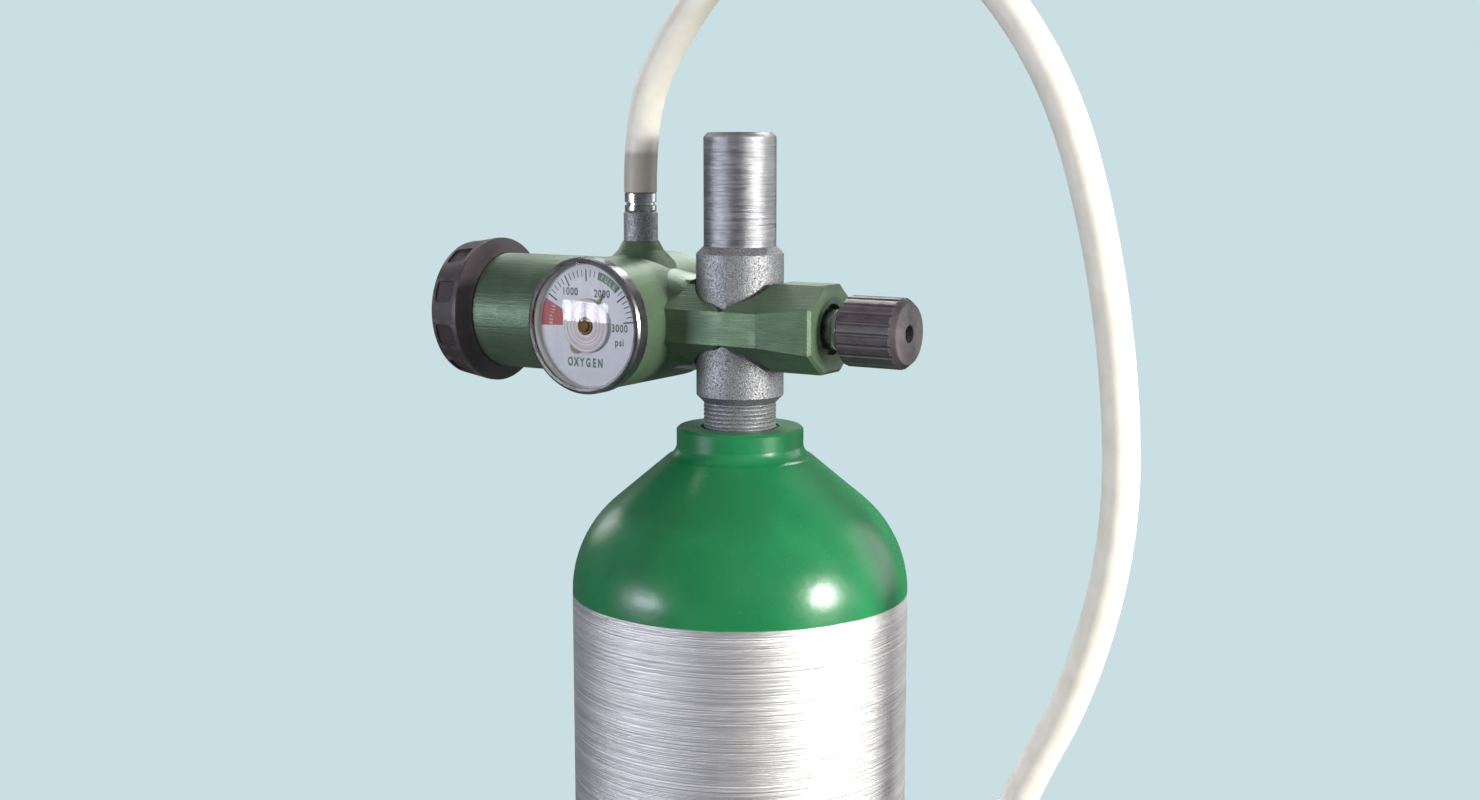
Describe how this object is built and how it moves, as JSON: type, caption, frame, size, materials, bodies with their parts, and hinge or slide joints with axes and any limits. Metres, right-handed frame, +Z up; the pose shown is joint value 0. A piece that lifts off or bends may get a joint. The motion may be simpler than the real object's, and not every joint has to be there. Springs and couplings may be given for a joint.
{
  "type": "oxygen cylinder",
  "caption": "Portable medical oxygen cylinder with a post valve, yoke regulator, pressure gauge, flow knob and coiled supply hose.",
  "frame": {"origin": "centre of the cylinder's base, on the floor", "axes": "+Z up along the cylinder, +X along the regulator towards the clamp knob, the gauge faces -Y"},
  "size_m": [0.3379, 0.1732, 0.5864],
  "materials": {
    "cylinder_wall": "brushed aluminium wall, gloss green paint above the paint line",
    "green_finish": "sage green satin anodised finish",
    "cast_metal": "rough grey cast finish",
    "turned_metal": "turned and brushed",
    "bright_metal": "polished plating",
    "steel": "brushed",
    "brass": "machined",
    "sintered_bronze": "sintered, matte",
    "green_washer": "moulded rim",
    "black_rubber": "matte",
    "white_polymer": "matte",
    "knob_plastic": "moulded, satin",
    "dial_white": "printed white enamel",
    "pointer_olive": "satin paint",
    "clear_lens": "clear moulded polycarbonate",
    "hose_vinyl": "ivory translucent vinyl",
    "connector_vinyl": "soft translucent green vinyl",
    "tie_fabric": "woven hook-and-loop strap"
  },
  "bodies": {
    "root": {"cylinder_shell": "cylinder_wall", "neck_o_ring": "black_rubber", "valve_body": "cast_metal", "valve_bonnet": "turned_metal", "stem_packing": "white_polymer", "packing_gland": "brass", "anti_debris_tube": "brass", "safety_plug": "brass", "burst_disc": "brass", "regulator_body": "green_finish", "inlet_nipple": "brass", "inlet_filter": "sintered_bronze", "seal_washer": "green_washer", "index_pins": "steel", "relief_valve": "brass", "piston_spring": "steel", "flow_housing": "brass", "detent_ball": "steel", "detent_spring": "steel", "housing_ring": "brass", "outlet_barb": "cast_metal", "hose_ferrule": "bright_metal", "gauge_bezel": "bright_metal", "gauge_lens": "clear_lens", "gauge_gasket": "white_polymer", "gauge_case": "brass", "gauge_dial": "dial_white", "movement_frame": "brass", "gauge_socket": "brass", "bourdon_tube": "brass", "hose_tube": "hose_vinyl", "hose_coil": "hose_vinyl", "hose_connector": "connector_vinyl", "hose_ties": "tie_fabric"},
    "valve_stem": {"valve_stem": "steel"},
    "valve_plug": {"valve_plug": "brass", "valve_seat_disc": "white_polymer"},
    "piston": {"piston": "brass", "piston_o_ring": "black_rubber"},
    "flow_knob": {"orifice_disc": "steel", "flow_spindle": "steel", "flow_knob": "knob_plastic", "knob_cap": "knob_plastic"},
    "clamp_pad": {"clamp_pad": "steel"},
    "clamp_screw": {"clamp_screw": "bright_metal", "clamp_collar": "bright_metal", "clamp_knob": "knob_plastic", "clamp_knob_screw": "steel"},
    "sector_gear": {"sector_gear": "brass"},
    "pointer": {"gauge_pointer": "pointer_olive", "pointer_disc": "dial_white", "pointer_hub": "brass", "pinion": "brass"}
  },
  "joints": [
    {"name": "flow_knob_turn", "type": "hinge", "parent": "root", "child": "flow_knob", "pos_m": [-0.105, 0, 0.4528], "axis": [-1, 0, 0], "range_deg": [0, 324]},
    {"name": "clamp_slide", "type": "slide", "parent": "root", "child": "clamp_pad", "axis": [1, 0, 0], "range_m": [0, 0.00875]},
    {"name": "clamp_turn", "type": "hinge", "parent": "clamp_pad", "child": "clamp_screw", "pos_m": [0.05, 0, 0.4528], "axis": [1, 0, 0], "range_deg": [0, 1801]},
    {"name": "valve_stem_turn", "type": "hinge", "parent": "root", "child": "valve_stem", "pos_m": [0, 0, 0.5], "axis": [0, 0, 1], "range_deg": [-421, 61]},
    {"name": "valve_plug_lift", "type": "slide", "parent": "valve_stem", "child": "valve_plug", "axis": [0, 0, 1], "range_m": [-0.00175, 0.00025]},
    {"name": "piston_slide", "type": "slide", "parent": "root", "child": "piston", "axis": [-1, 0, 0], "range_m": [0, 0.0012], "stiffness_N_per_m": 3000, "deforming": ["piston_spring"]},
    {"name": "gauge_sector_turn", "type": "hinge", "parent": "root", "child": "sector_gear", "pos_m": [-0.039, -0.022, 0.4428], "axis": [0, 1, 0], "range_deg": [-13.1, 29.4]},
    {"name": "gauge_pointer_turn", "type": "hinge", "parent": "root", "child": "pointer", "pos_m": [-0.039, -0.03, 0.4528], "axis": [0, 1, 0], "range_deg": [-117.6, 52.4]}
  ],
  "couplings": [
    {"joint": "clamp_turn", "follows": "clamp_slide", "rad_per_m": 3590.4},
    {"joint": "valve_stem_turn", "follows": "valve_plug_lift", "rad_per_m": 4188.8},
    {"joint": "gauge_pointer_turn", "follows": "gauge_sector_turn", "ratio": -4}
  ]
}
